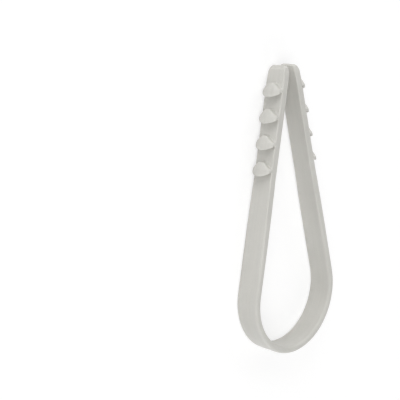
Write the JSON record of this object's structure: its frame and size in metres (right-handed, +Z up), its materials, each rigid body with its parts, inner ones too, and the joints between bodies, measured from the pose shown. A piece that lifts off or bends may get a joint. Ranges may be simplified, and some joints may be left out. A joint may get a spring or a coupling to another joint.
{
  "type": "push-in cable clamp",
  "caption": "One-piece plastic clamp: a flat strap bent into a loop for a round cable, with two straight barbed legs that are pressed together and pushed into a drilled wall hole",
  "frame": {"origin": "centre of the clamp's outline, in the plane that it lies on", "axes": "X across the loop, +Y from the loop towards the plug's tips, +Z up, across the strap's width; the clamp lies on the edge of its strap"},
  "size_m": [0.0242, 0.0588, 0.0054],
  "materials": {
    "light_grey_plastic": "smooth moulded, low satin sheen"
  },
  "bodies": {
    "root": {"clamp": "light_grey_plastic"}
  },
  "joints": []
}
